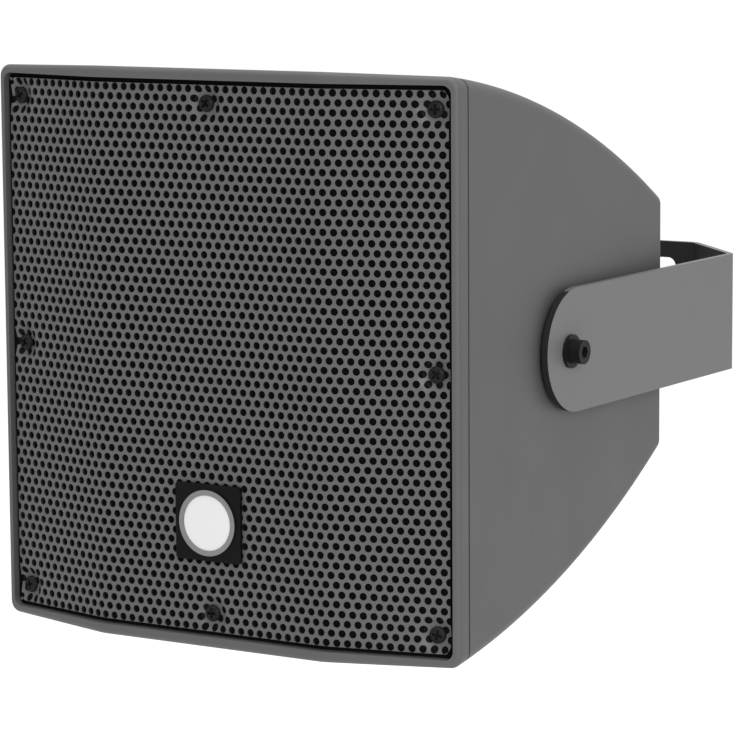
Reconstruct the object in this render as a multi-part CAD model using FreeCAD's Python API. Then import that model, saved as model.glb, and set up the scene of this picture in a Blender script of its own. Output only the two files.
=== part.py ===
import FreeCAD, Part
import math
import os

# Installation speaker on a wall bracket. Millimetres, +X right seen from the front, front faces -Y, +Z up.
# The origin is the middle of the bracket's wall face. Depths are counted backwards from the rim's front.

# Cabinet outline
front_width = 246.4
front_height = 261.0
cabinet_depth = 223.7
back_height = 121.0
arch_radius = 556.0
side_taper_deg = 2.5
edge_radius = 5.5
rim_radius = 2.5
least_radius = 3.0
wall = 5.0

# Folded front
middle_facet_width = 120.0
facet_bend_deg = 12.5
fold_radius = 25.0

# Front frame
seam_depth = 22.0
seam_groove_width = 1.2
seam_groove_depth = 0.8
rim_width = 3.4
rim_height = 5.3
recess_radius = 4.0
grille_recess = 2.2
ledge_thickness = 5.0
pocket_inset_x = 19.2
pocket_inset_z = 22.5
pocket_radius = 15.0
skirt_wall = 4.0
baffle_depth = 32.0
baffle_thickness = 8.0
gasket_width = 2.0
gasket_thickness = 1.5
frame_screw_inset = 11.0
frame_screw_length = 22.0
frame_boss_radius = 6.0
frame_boss_length = 32.0
rib_thickness = 4.0

# Grille, its foam and its screws
sheet = 1.2
grille_gap = 2.2
foam_thickness = 4.0
foam_squeezed = 1.0
foam_gap = 0.5
hole_pitch = 16.0
hole_width = 9.6
hole_margin = 9.0
dimple_radius = 8.5
dimple_floor_radius = 4.6
dimple_depth = 2.2
grille_screw_inset_x = 6.1
grille_screw_inset_z = 8.2
grille_screw_head_radius = 3.8
grille_screw_head = 2.0
grille_screw_radius = 2.0
grille_screw_length = 12.0
grille_boss_radius = 5.5

# Badge
badge_size = 35.0
badge_radius = 1.5
badge_thickness = 1.6
badge_rise = 50.0
badge_ring_radius = 15.0
badge_ring_width = 2.4
badge_ring_height = 1.0
badge_disc_height = 0.6

# Driver
driver_clearance = 4.0
driver_lip = 8.0
driver_gasket_thickness = 2.0
driver_gasket_width = 7.5
basket_flange = 4.0
basket_wall = 2.0
basket_gap = 1.0
basket_neck_depth = 50.0
basket_neck_radius = 52.0
basket_depth = 62.0
basket_window_count = 6
basket_window_deg = 42.0
basket_window_margin = 9.0
spider_ledge = 4.0
hub_clearance = 4.0
driver_screw_count = 8
driver_screw_inset = 4.0
driver_screw_radius = 2.0
driver_screw_head_radius = 3.4
driver_screw_head = 2.2
driver_screw_length = 12.0
top_plate_radius = 46.0
top_plate_thickness = 6.0
magnet_radius = 55.0
magnet_bore_radius = 26.0
magnet_thickness = 16.0
back_plate_thickness = 6.0
pole_radius = 17.9
air_gap = 2.2
coil_clearance = 0.4
former_wall = 0.5
coil_wall = 0.8
coil_height = 12.0
surround_roll_radius = 6.0
surround_lip = 3.0
surround_sheet = 0.8
cone_thickness = 0.8
cone_seat = 0.5
cone_depth = 42.0
cone_collar = 5.0
dust_cap_radius = 32.0
dust_cap_height = 9.0
dust_cap_thickness = 0.6
spider_radius = 46.0
spider_sheet = 0.8
spider_wave = 1.6
spider_waves = 4

# Pivot
pivot_depth = 110.2
pad_radius = 15.0
pad_proud = 1.6
pivot_boss_radius = 14.0
pivot_boss_length = 16.0
insert_radius = 6.0
insert_length = 13.0
bolt_radius = 3.0
bolt_engagement = 10.0
bolt_head_radius = 5.5
bolt_head = 6.0
bolt_socket_radius = 2.9
bolt_socket = 3.4
washer_radius = 7.7
washer_thickness = 1.4
spacer_radius = 12.0
spacer_thickness = 1.4
running_gap = 0.08
screw_gap = 0.05
head_crown = 0.62

# Bracket
wall_to_pivot = 208.0
bracket_sheet = 3.0
bracket_height = 57.0
bracket_corner = 40.0
bracket_slant_deg = 45.0
bracket_bend = 4.0
arm_end_offset = 7.1
slot_width = 8.4
slot_length = 34.0
slot_spacing_x = 114.0
slot_spacing_z = 32.0

# Connection panel
panel_width = 112.0
panel_height = 80.0
panel_radius = 6.0
panel_thickness = 2.0
panel_gasket_thickness = 1.5
panel_opening_width = 92.0
panel_opening_height = 60.0
panel_frame_border = 15.0
panel_frame_thickness = 6.0
panel_gap = 0.4
panel_screw_inset = 5.5
panel_screw_radius = 1.6
panel_screw_head_radius = 3.0
panel_screw_head = 1.8
panel_screw_length = 9.0

# Selector, gland and terminals on the panel
selector_x = 26.0
selector_z = 14.0
switch_radius = 12.0
switch_length = 14.0
bushing_radius = 4.5
bushing_length = 8.0
shaft_radius = 3.0
shaft_reach = 9.0
shaft_flat = 1.0
selector_nut_width = 13.0
selector_nut_thickness = 2.5
knob_radius = 11.0
knob_height = 13.0
knob_skirt_gap = 0.8
knob_ribs = 12
knob_rib_radius = 1.2
knob_edge = 1.2
gland_x = 26.0
gland_z = -15.0
gland_thread_radius = 8.0
gland_thread_length = 9.0
gland_hex = 21.0
gland_hex_thickness = 6.0
gland_bore_radius = 4.0
gland_cap_radius = 9.5
gland_cap_height = 14.0
gland_cap_lip = 1.5
gland_nut_width = 22.0
gland_nut_thickness = 4.0
terminal_x = -18.0
terminal_z = 24.5
terminal_width = 30.0
terminal_height = 9.0
terminal_depth = 11.0
terminal_ways = 3
terminal_hole_radius = 1.8

# Line transformer
transformer_x = -16.0
transformer_z = -6.0
core_width = 40.0
core_depth = 34.0
core_stack = 16.0
core_leg = 6.0
winding_overhang = 6.0
winding_gap = 0.5
strap_sheet = 1.2
strap_foot = 7.0
strap_screw_radius = 1.5
strap_screw_head_radius = 2.6
strap_screw_head = 1.6
strap_screw_length = 6.0

# Places worked out from the sizes above
bend = math.radians(facet_bend_deg)
taper = math.radians(side_taper_deg)
front_y = -(wall_to_pivot + pivot_depth)
pivot_y = -wall_to_pivot
corner_half = front_width / 2
fold_half = middle_facet_width / 2
corner_depth = (corner_half - fold_half) * math.tan(bend)
recess_width = front_width - 2 * rim_width
recess_height = front_height - 2 * rim_height
grille_width = recess_width - 2 * grille_gap
grille_height = recess_height - 2 * grille_gap
grille_back = grille_recess + sheet
ledge_offset = grille_back + foam_squeezed
pocket_width = front_width - 2 * pocket_inset_x
pocket_height = front_height - 2 * pocket_inset_z
baffle_back = baffle_depth + baffle_thickness
driver_radius = min(pocket_width, pocket_height) / 2 - driver_clearance
driver_opening_radius = driver_radius - driver_lip
driver_screw_ring = driver_radius - driver_screw_inset
frame_screw_x = pocket_width / 2 - frame_screw_inset
frame_screw_z = pocket_height / 2 - frame_screw_inset
badge_drop = grille_height / 2 - badge_rise
past = 10.0
over = 1.0


def vec(x, y, z):
    return FreeCAD.Vector(x, y, z)


def at_front(point, depth):
    """Place of a front-view point (x, z) at a depth behind the rim's front."""
    return vec(point[0], front_y + depth, point[1])


def rounded_face(points, radii, place):
    """Flat face inside 2D points, each corner rounded by its radius; place gives the 3D position."""
    edges = []
    last = None
    first = None
    for index, point in enumerate(points):
        corner = vec(point[0], point[1], 0)
        before = points[index - 1]
        after = points[(index + 1) % len(points)]
        back = (vec(before[0], before[1], 0) - corner).normalize()
        ahead = (vec(after[0], after[1], 0) - corner).normalize()
        radius = radii[index]
        start = corner
        end = corner
        if radius > 0:
            half = back.getAngle(ahead) / 2
            bisector = (back + ahead).normalize()
            start = corner + back * (radius / math.tan(half))
            end = corner + ahead * (radius / math.tan(half))
            middle = corner + bisector * (radius / math.sin(half) - radius)
            arc = Part.Arc(place(start), place(middle), place(end)).toShape()
        if last is None:
            first = start
        elif (start - last).Length > 1e-7:
            edges.append(Part.makeLine(place(last), place(start)))
        if radius > 0:
            edges.append(arc)
        last = end
    if (first - last).Length > 1e-7:
        edges.append(Part.makeLine(place(last), place(first)))
    return Part.Face(Part.Wire(edges))


def front_block(width, height, radius, depth, thickness, x=0.0, z=0.0):
    """Block with a rounded rectangular front view, from a depth backwards."""
    points = [(x - width / 2, z - height / 2), (x + width / 2, z - height / 2),
              (x + width / 2, z + height / 2), (x - width / 2, z + height / 2)]
    face = rounded_face(points, [radius] * 4, lambda p: at_front((p.x, p.y), depth))
    return face.extrude(vec(0, thickness, 0))


def front_disc(radius, depth, thickness, x=0.0, z=0.0):
    return Part.makeCylinder(radius, thickness, at_front((x, z), depth), vec(0, 1, 0))


def front_ring(outer, inner, depth, thickness, x=0.0, z=0.0):
    return front_disc(outer, depth, thickness, x, z).cut(front_disc(inner, depth, thickness, x, z))


def front_hex(across_flats, depth, thickness, x=0.0, z=0.0):
    reach = across_flats / math.sqrt(3)
    turns = [math.radians(60 * step) for step in range(6)]
    points = [(x + reach * math.cos(turn), z + reach * math.sin(turn)) for turn in turns]
    face = rounded_face(points, [0] * 6, lambda p: at_front((p.x, p.y), depth))
    return face.extrude(vec(0, thickness, 0))


def revolve_front(points, radii):
    """Solid turned about the driver's axis; points are (radius, depth) pairs round the section."""
    face = rounded_face(points, radii, lambda p: vec(p.x, front_y + p.y, 0))
    return face.revolve(vec(0, front_y, 0), vec(0, 1, 0), 360)


def pan_screw(head_radius, head_height, radius, length):
    """Screw with a bevelled head, its head's seat at the origin and its shank along +Y."""
    crown = head_radius * head_crown
    points = [(0.0, length), (radius, length - radius), (radius, 0.0), (head_radius, 0.0),
              (head_radius, -head_height / 2), (crown, -head_height), (0.0, -head_height)]
    face = rounded_face(points, [0] * len(points), lambda p: vec(p.x, p.y, 0))
    return face.revolve(vec(0, 0, 0), vec(0, 1, 0), 360)


def placed(shape, position, turn_deg=0.0):
    """Copy of a shape turned about Z, then moved."""
    rotation = FreeCAD.Rotation(vec(0, 0, 1), turn_deg)
    copy = shape.copy()
    copy.Placement = FreeCAD.Placement(position, rotation)
    return copy


def mirrored_x(shape):
    return shape.mirror(vec(0, 0, 0), vec(1, 0, 0))


def fold_x(offset):
    return fold_half - offset * math.tan(bend / 2)


def facet_depth(x, offset):
    """Depth of the folded front, offset inwards, at a distance x from the middle, folds taken as sharp."""
    return offset + max(0.0, abs(x) - fold_x(offset)) * math.tan(bend)


def folded_block(offset, back):
    """Everything behind the folded front, from an inward offset to a back depth."""
    half_width = corner_half + past
    side = facet_depth(half_width, offset)
    points = [(-half_width, side), (-fold_x(offset), offset), (fold_x(offset), offset), (half_width, side),
              (half_width, back), (-half_width, back)]
    bend_radius = fold_radius - offset
    face = rounded_face(points, [0, bend_radius, bend_radius, 0, 0, 0],
                        lambda p: vec(p.x, front_y + p.y, -front_height))
    return face.extrude(vec(0, 0, 2 * front_height))


def arch_centre():
    """Centre (depth, height) of the arch over the cabinet, from its two ends and its radius."""
    rise = (front_height - back_height) / 2
    chord = math.hypot(cabinet_depth, rise)
    reach = math.sqrt(arch_radius ** 2 - (chord / 2) ** 2)
    middle_height = (front_height + back_height) / 4
    return cabinet_depth / 2 - reach * rise / chord, middle_height - reach * cabinet_depth / chord


def arch_height(depth, inset=0.0):
    """Half height of the cabinet at a depth, drawn in by an inset."""
    centre_depth, centre_height = arch_centre()
    return centre_height + math.sqrt((arch_radius - inset) ** 2 - (depth - centre_depth) ** 2)


def side_x(depth, inset=0.0):
    """Half width of the tapered cabinet at a depth, drawn in by an inset."""
    return corner_half - (depth - corner_depth) * math.tan(taper) - inset / math.cos(taper)


def cabinet_body(inset, start, end):
    """Cabinet form drawn in by an inset: arched side view crossed with the tapered plan."""
    def place(depth, height):
        return vec(-front_width, front_y + depth, height)
    middle = (start + end) / 2
    profile = Part.Wire([
        Part.Arc(place(start, arch_height(start, inset)), place(middle, arch_height(middle, inset)),
                 place(end, arch_height(end, inset))).toShape(),
        Part.makeLine(place(end, arch_height(end, inset)), place(end, -arch_height(end, inset))),
        Part.Arc(place(end, -arch_height(end, inset)), place(middle, -arch_height(middle, inset)),
                 place(start, -arch_height(start, inset))).toShape(),
        Part.makeLine(place(start, -arch_height(start, inset)), place(start, arch_height(start, inset)))])
    arched = Part.Face(profile).extrude(vec(2 * front_width, 0, 0))
    plan = rounded_face([(-side_x(start, inset), start), (side_x(start, inset), start),
                         (side_x(end, inset), end), (-side_x(end, inset), end)], [0] * 4,
                        lambda p: vec(p.x, front_y + p.y, -front_height))
    return arched.common(plan.extrude(vec(0, 0, 2 * front_height)))


def slab(start, end):
    """Wide block between two depths."""
    return Part.makeBox(2 * front_width, end - start, 2 * front_height,
                        vec(-front_width, front_y + start, -front_height))


def lengthwise_edges(body):
    """Edges that run from the front of a cabinet form to its back."""
    return [edge for edge in body.Edges if edge.BoundBox.YLength > 0.9 * body.BoundBox.YLength]


def rounded_body(inset, start, end):
    """Cabinet form drawn in by an inset, with its lengthwise edges rounded to match, between two depths."""
    body = cabinet_body(inset, -past, cabinet_depth)
    body = body.makeFillet(max(edge_radius - inset, least_radius), lengthwise_edges(body))
    return body.common(slab(start, end))


def rounded_cabinet():
    """Outer form of the whole cabinet with its edges rounded."""
    body = cabinet_body(0.0, -past, cabinet_depth)
    back_edges = [edge for edge in body.Edges if edge.BoundBox.YMin > front_y + cabinet_depth - over]
    body = body.makeFillet(edge_radius, lengthwise_edges(body) + back_edges)
    body = body.common(folded_block(0.0, cabinet_depth + past))
    return body.makeFillet(rim_radius, front_outline(body))


def front_outline(body):
    """Edges of the folded front's outline, without the lines where its facets meet their rounded folds."""
    outline = []
    for edge in body.Edges:
        middle = edge.valueAt((edge.FirstParameter + edge.LastParameter) / 2)
        on_front = abs(middle.y - front_y - facet_depth(middle.x, 0.0)) < 0.5
        across = abs(middle.z) < over and abs(middle.x) < corner_half - over
        if on_front and not across:
            outline.append(edge)
    return outline


def grille_screw_places():
    """Place on the grille's outer face and turn about Z for each grille screw."""
    side = grille_width / 2 - grille_screw_inset_x
    height = grille_height / 2 - grille_screw_inset_z
    depth = facet_depth(side, grille_recess)
    places = [(at_front((0.0, up * height), grille_recess), 0.0) for up in (-1, 1)]
    for hand in (-1, 1):
        for up in (-1, 0, 1):
            places.append((at_front((hand * side, up * height), depth), hand * facet_bend_deg))
    return places


def along_y_rod(radius, length):
    return Part.makeCylinder(radius, length, vec(0, 0, 0), vec(0, 1, 0))


def along_y_cone(radius_front, radius_back, length):
    return Part.makeCone(radius_front, radius_back, length, vec(0, 0, 0), vec(0, 1, 0))


def dimple_skin():
    return along_y_cone(dimple_radius + sheet, dimple_floor_radius + sheet / 2, dimple_depth + sheet)


def pivot_disc(radius, start, thickness):
    """Disc on the pivot's axis, from a place on X outwards."""
    return Part.makeCylinder(radius, thickness, vec(start, pivot_y, 0), vec(1, 0, 0))


def pivot_ring(outer, inner, start, thickness):
    return pivot_disc(outer, start, thickness).cut(pivot_disc(inner, start, thickness))


def fuse_all(first, others):
    return first.multiFuse(others).removeSplitter()


def cut_all(base, tools):
    return base.cut(Part.makeCompound(tools))


pad_face = side_x(pivot_depth) + pad_proud
arm_outer = pad_face + spacer_thickness + bracket_sheet
nodes = {}

# Front frame: rim, grille ledge and the recessed baffle in one moulding
outer_form = rounded_cabinet()
tub_width = pocket_width + 2 * skirt_wall
tub_height = pocket_height + 2 * skirt_wall
frame_rim = outer_form.common(slab(-past, seam_depth))
recess = front_block(recess_width, recess_height, recess_radius, -past, past + seam_depth)
recess = recess.cut(folded_block(ledge_offset, cabinet_depth))
core = rounded_body(wall, 0.0, seam_depth + past)
core = core.common(folded_block(ledge_offset + ledge_thickness, seam_depth + past))
core = core.cut(front_block(tub_width, tub_height, pocket_radius + skirt_wall, 0.0, baffle_back))
screw_post = along_y_rod(grille_boss_radius, seam_depth)
core = cut_all(core, [placed(screw_post, place, turn) for place, turn in grille_screw_places()])
tub = front_block(tub_width, tub_height, pocket_radius + skirt_wall, seam_depth - over,
                  baffle_back - seam_depth + over)
pocket = front_block(pocket_width, pocket_height, pocket_radius, -past, past + baffle_depth)
opening = front_disc(driver_opening_radius, baffle_depth - over, baffle_thickness + 2 * over)
front_frame = fuse_all(frame_rim.cut(core), [tub]).cut(recess).cut(pocket).cut(opening)
pilot = along_y_rod(grille_screw_radius + screw_gap, dimple_depth + grille_screw_length + over)
grille_plan = front_block(grille_width, grille_height, recess_radius, -past, past + baffle_depth)
skins = [placed(dimple_skin(), place, turn).common(grille_plan) for place, turn in grille_screw_places()]
seats = skins + [placed(pilot, place, turn) for place, turn in grille_screw_places()]
driver_pilot = front_disc(driver_screw_radius + screw_gap, baffle_depth - over, baffle_thickness + 2 * over)
driver_turns = [360.0 / driver_screw_count * (step + 0.5) for step in range(driver_screw_count)]
driver_spots = []
for turn in driver_turns:
    angle = math.radians(turn)
    driver_spots.append((driver_screw_ring * math.cos(angle), driver_screw_ring * math.sin(angle)))
seats += [placed(driver_pilot, vec(x, 0, z)) for x, z in driver_spots]
frame_spots = [(hand * frame_screw_x, up * frame_screw_z) for hand in (-1, 1) for up in (-1, 1)]
frame_hole = front_disc(driver_screw_radius + screw_gap, baffle_depth - over, baffle_thickness + 2 * over)
seats += [placed(frame_hole, vec(x, 0, z)) for x, z in frame_spots]
nodes["front_frame"] = cut_all(front_frame, seats)

# Rear shell: arched tub with screw posts, pivot pads and the seat of the connection panel
shell = outer_form.common(slab(seam_depth, cabinet_depth + past))
seam_groove = slab(seam_depth, seam_depth + seam_groove_width)
shell = shell.cut(seam_groove.cut(rounded_body(seam_groove_depth, 0.0, cabinet_depth)))
shell = shell.cut(rounded_body(wall, 0.0, cabinet_depth - wall))
posts = []
side_run = front_width / 2 - frame_screw_x
arch_run = front_height / 2 - frame_screw_z
for x, z in frame_spots:
    post = front_disc(frame_boss_radius, baffle_back, frame_boss_length, x, z)
    rib_x = math.copysign(frame_screw_x + side_run / 2, x)
    rib_z = math.copysign(frame_screw_z + arch_run / 2, z)
    side_rib = front_block(side_run, rib_thickness, 0.0, baffle_back, frame_boss_length, rib_x, z)
    arch_rib = front_block(rib_thickness, arch_run, 0.0, baffle_back, frame_boss_length, x, rib_z)
    posts.append(fuse_all(post, [side_rib, arch_rib]).common(cabinet_body(wall / 2, 0.0, cabinet_depth)))
pad = pivot_disc(pad_radius, pad_face - wall, wall)
pivot_boss = pivot_disc(pivot_boss_radius, pad_face - pivot_boss_length, pivot_boss_length)
posts += [pad, pivot_boss, mirrored_x(pad), mirrored_x(pivot_boss)]
panel_seat = cabinet_depth - panel_thickness - panel_gasket_thickness
seat_width = panel_opening_width + 2 * panel_frame_border
seat_height = panel_opening_height + 2 * panel_frame_border
seat_front = cabinet_depth - wall - panel_frame_thickness
posts.append(front_block(seat_width, seat_height, panel_radius, seat_front, panel_frame_thickness))
shell = fuse_all(shell, posts)
insert_bore = pivot_disc(insert_radius, pad_face - insert_length - over, insert_length + over)
panel_spots = [(hand * (panel_width / 2 - panel_screw_inset), up * (panel_height / 2 - panel_screw_inset))
               for hand in (-1, 1) for up in (-1, 1)]
holes = [insert_bore, mirrored_x(insert_bore)]
holes.append(front_block(panel_width + 2 * panel_gap, panel_height + 2 * panel_gap,
                         panel_radius + panel_gap, panel_seat, past + panel_thickness))
holes.append(front_block(panel_opening_width, panel_opening_height, panel_radius, seat_front - over,
                         wall + panel_frame_thickness + over))
panel_pilot = panel_screw_radius + screw_gap
pilot_front = cabinet_depth - panel_screw_length
holes += [front_disc(panel_pilot, pilot_front, panel_screw_length, x, z) for x, z in panel_spots]
frame_pilot = driver_screw_radius + screw_gap
holes += [front_disc(frame_pilot, baffle_back - over, frame_screw_length, x, z) for x, z in frame_spots]
gasket_place = wall / 2 - gasket_width / 2
seam_gasket = rounded_body(gasket_place, seam_depth, seam_depth + gasket_thickness)
seam_gasket = seam_gasket.cut(rounded_body(gasket_place + gasket_width, 0.0, cabinet_depth))
nodes["seam_gasket"] = seam_gasket
nodes["rear_shell"] = cut_all(shell, holes).cut(seam_gasket)

frame_screw = pan_screw(driver_screw_head_radius, driver_screw_head, driver_screw_radius, frame_screw_length)
frame_screws = [placed(frame_screw, at_front((x, z), baffle_depth)) for x, z in frame_spots]
nodes["frame_screws"] = Part.makeCompound(frame_screws)

# Grille: sheet folded in three facets, perforated in a stagger and dished round its screws
grille = folded_block(grille_recess, baffle_depth)
grille = grille.cut(folded_block(grille_back, cabinet_depth)).common(grille_plan)
dish = along_y_cone(dimple_radius, dimple_floor_radius, dimple_depth)
dish = dish.fuse(along_y_rod(grille_screw_radius + screw_gap, 2 * dimple_depth + sheet))
dishes = [placed(dish, place, turn) for place, turn in grille_screw_places()]
grille = cut_all(fuse_all(grille, skins), dishes)
row_step = hole_pitch * math.sqrt(3) / 2
half_rows = int((grille_height / 2 - hole_margin) / row_step)
flat_half = fold_x(grille_recess) + (grille_width / 2 - fold_x(grille_recess)) / math.cos(bend)
half_columns = int((flat_half - hole_margin) / hole_pitch)
cutters = []
for row in range(-half_rows, half_rows + 1):
    shift = hole_pitch / 2 if row % 2 else 0.0
    for column in range(-half_columns - 1, half_columns + 1):
        along = column * hole_pitch + shift
        beyond = abs(along) - fold_x(grille_recess)
        if abs(along) > flat_half - hole_margin:
            continue
        x = along if beyond < 0 else math.copysign(fold_x(grille_recess) + beyond * math.cos(bend), along)
        z = row * row_step
        screw_reach = dimple_radius + sheet + hole_width / 2 + over
        near_screw = [place for place, turn in grille_screw_places()
                      if math.hypot(place.x - x, place.z - z) < screw_reach]
        badge_reach = (badge_size + hole_width) / 2
        near_badge = abs(x) < badge_reach and abs(z + badge_drop) < badge_reach
        if not near_screw and not near_badge:
            cutters.append(front_hex(hole_width, 0.0, baffle_depth, x, z))
nodes["grille"] = cut_all(grille, cutters)

# Foam: full thickness over the pocket, squeezed between the grille and the ledge round it
foam_front = folded_block(grille_back, baffle_depth)
foam_edge = front_block(recess_width - 2 * foam_gap, recess_height - 2 * foam_gap,
                        recess_radius - foam_gap, 0.0, baffle_depth)
foam_middle = front_block(pocket_width - 2 * foam_gap, pocket_height - 2 * foam_gap,
                          pocket_radius - foam_gap, 0.0, baffle_depth)
foam_edge = foam_front.cut(folded_block(ledge_offset, cabinet_depth)).common(foam_edge)
foam_middle = foam_front.cut(folded_block(grille_back + foam_thickness, cabinet_depth)).common(foam_middle)
nodes["grille_foam"] = cut_all(fuse_all(foam_middle, [foam_edge]), skins)

grille_screw = pan_screw(grille_screw_head_radius, grille_screw_head, grille_screw_radius,
                         grille_screw_length)
seat_shift = vec(0, dimple_depth, 0)
grille_screws = []
for place, turn in grille_screw_places():
    inward = FreeCAD.Rotation(vec(0, 0, 1), turn).multVec(seat_shift)
    grille_screws.append(placed(grille_screw, place + inward, turn))
nodes["grille_screws"] = Part.makeCompound(grille_screws)

# Badge: square plate with a ring and a plain disc
badge_face = grille_recess - badge_thickness
badge_disc_radius = badge_ring_radius - badge_ring_width
nodes["badge_plate"] = front_block(badge_size, badge_size, badge_radius, badge_face, badge_thickness,
                                   0.0, -badge_drop)
nodes["badge_ring"] = front_ring(badge_ring_radius, badge_disc_radius, badge_face - badge_ring_height,
                                 badge_ring_height, 0.0, -badge_drop)
nodes["badge_disc"] = front_disc(badge_disc_radius, badge_face - badge_disc_height, badge_disc_height,
                                 0.0, -badge_drop)

# Driver: fixed pieces
gasket_front = baffle_depth - driver_gasket_thickness
flange_front = gasket_front - basket_flange
screw_way = front_disc(driver_screw_radius + screw_gap, flange_front - over, baffle_depth)
screw_ways = [placed(screw_way, vec(x, 0, z)) for x, z in driver_spots]
driver_gasket = front_ring(driver_radius, driver_radius - driver_gasket_width, gasket_front,
                           driver_gasket_thickness)
nodes["driver_gasket"] = cut_all(driver_gasket, screw_ways)
neck = flange_front + basket_neck_depth
seat = flange_front + basket_depth
bowl_top = driver_opening_radius - basket_gap
hub_hole = pole_radius + air_gap + hub_clearance
ledge_radius = basket_neck_radius - spider_ledge
basket_section = [
    (driver_radius, flange_front), (driver_radius, gasket_front), (bowl_top, gasket_front),
    (basket_neck_radius + basket_wall, neck), (basket_neck_radius + basket_wall, seat),
    (hub_hole, seat), (hub_hole, seat - basket_wall), (ledge_radius, seat - basket_wall),
    (ledge_radius, neck), (basket_neck_radius, neck),
    (bowl_top - basket_wall, gasket_front), (bowl_top - basket_wall, flange_front)]
basket = revolve_front(basket_section, [0] * len(basket_section))
window_start = gasket_front + basket_window_margin
window = front_ring(driver_radius, basket_neck_radius, window_start, neck - basket_wall - window_start)
half_window = math.radians(basket_window_deg / 2)
sector_x = 2 * driver_radius * math.cos(half_window)
sector_z = 2 * driver_radius * math.sin(half_window)
sector_face = rounded_face([(0.0, 0.0), (sector_x, -sector_z), (sector_x, sector_z)], [0] * 3,
                           lambda p: at_front((p.x, p.y), window_start))
window = window.common(sector_face.extrude(vec(0, basket_depth, 0)))
windows = []
for step in range(basket_window_count):
    cutter = window.copy()
    cutter.rotate(vec(0, 0, 0), vec(0, 1, 0), 360.0 / basket_window_count * step)
    windows.append(cutter)
nodes["driver_basket"] = cut_all(basket, windows + screw_ways)
driver_screw = pan_screw(driver_screw_head_radius, driver_screw_head, driver_screw_radius,
                         driver_screw_length)
driver_screws = [placed(driver_screw, at_front((x, z), flange_front)) for x, z in driver_spots]
nodes["driver_screws"] = Part.makeCompound(driver_screws)
gap_radius = pole_radius + air_gap
magnet_front = seat + top_plate_thickness
back_plate_front = magnet_front + magnet_thickness
nodes["top_plate"] = front_ring(top_plate_radius, gap_radius, seat, top_plate_thickness)
nodes["magnet"] = front_ring(magnet_radius, magnet_bore_radius, magnet_front, magnet_thickness)
nodes["pole_plate"] = fuse_all(front_disc(magnet_radius, back_plate_front, back_plate_thickness),
                               [front_disc(pole_radius, seat, back_plate_front - seat + over)])

# Driver: moving pieces and the soft pieces that carry them
roll_outer = bowl_top - basket_wall - surround_lip
roll_inner = roll_outer - 2 * surround_roll_radius
roll_middle = (roll_outer + roll_inner) / 2


def surround_section(radius):
    """Half of the surround's section at a roll radius: (radius, depth) of its two ends and its crest."""
    outer_end = (roll_middle + radius, flange_front)
    crest = (roll_middle, flange_front - radius)
    inner_end = (roll_middle - radius, flange_front)
    return outer_end, crest, inner_end


def on_section(point):
    return vec(point[0], front_y + point[1], 0)


outer_roll = [on_section(point) for point in surround_section(surround_roll_radius)]
inner_roll = [on_section(point) for point in surround_section(surround_roll_radius - surround_sheet)]
lip_edge = bowl_top - basket_wall + surround_lip
lip_front = flange_front - surround_sheet
roll_face = Part.Face(Part.Wire([
    Part.Arc(*outer_roll).toShape(), Part.makeLine(outer_roll[2], inner_roll[2]),
    Part.Arc(*inner_roll[::-1]).toShape(), Part.makeLine(inner_roll[0], outer_roll[0])]))
roll = roll_face.revolve(vec(0, front_y, 0), vec(0, 1, 0), 360)
lip = front_ring(lip_edge, roll_outer - surround_sheet, lip_front, surround_sheet)
nodes["surround"] = fuse_all(roll, [lip])

former_inner = pole_radius + coil_clearance
former_outer = former_inner + former_wall
cone_edge = roll_inner + surround_sheet / 2
cone_front = flange_front + cone_seat
cone_back = cone_front + cone_depth
collar_radius = former_outer + cone_thickness
former_front = cone_back - cone_thickness
cone_section = [
    (cone_edge, cone_front), (cone_edge, cone_front + cone_thickness), (collar_radius, cone_back),
    (collar_radius, cone_back + cone_collar), (former_outer, cone_back + cone_collar),
    (former_outer, former_front)]
nodes["cone"] = revolve_front(cone_section, [0] * len(cone_section))
coil_middle = seat + top_plate_thickness / 2
former_back = coil_middle + coil_height / 2
nodes["coil_former"] = front_ring(former_outer, former_inner, former_front, former_back - former_front)
coil_front = coil_middle - coil_height / 2
nodes["voice_coil"] = front_ring(former_outer + coil_wall, former_outer, coil_front, coil_height)


def cone_face_depth(radius):
    """Depth of the cone's front surface at a radius."""
    share = (cone_edge - radius) / (cone_edge - former_outer)
    return cone_front + share * (cone_depth - cone_thickness)


cap_seat = cone_face_depth(dust_cap_radius)
cap_sphere = (dust_cap_radius ** 2 + dust_cap_height ** 2) / (2 * dust_cap_height)
cap_centre = front_y + cap_seat - dust_cap_height + cap_sphere


def cap_arc(radius):
    """Arc of the dust cap's section on a sphere of the given radius, from its edge to the axis."""
    edge_angle = math.acos((cap_centre - front_y - cap_seat) / radius)
    angles = (edge_angle, edge_angle / 2, 0.0)
    return [vec(radius * math.sin(angle), cap_centre - radius * math.cos(angle), 0) for angle in angles]


cap_outer = cap_arc(cap_sphere)
cap_inner = cap_arc(cap_sphere - dust_cap_thickness)
cap_face = Part.Face(Part.Wire([
    Part.Arc(*cap_outer).toShape(), Part.makeLine(cap_outer[2], cap_inner[2]),
    Part.Arc(*cap_inner[::-1]).toShape(), Part.makeLine(cap_inner[0], cap_outer[0])]))
nodes["dust_cap"] = cap_face.revolve(vec(0, front_y, 0), vec(0, 1, 0), 360)

wave_length = (spider_radius - former_outer) / spider_waves
upper = []
lower = []
for step in range(2 * spider_waves + 1):
    radius = former_outer + step * wave_length / 2
    swing = spider_wave if step % 2 else 0.0
    upper.append((radius, neck - spider_sheet - swing))
    lower.append((radius, neck - swing))
upper.append((basket_neck_radius, neck - spider_sheet))
lower.append((basket_neck_radius, neck))
nodes["spider"] = revolve_front(upper + lower[::-1], [0] * (len(upper) + len(lower)))

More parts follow.
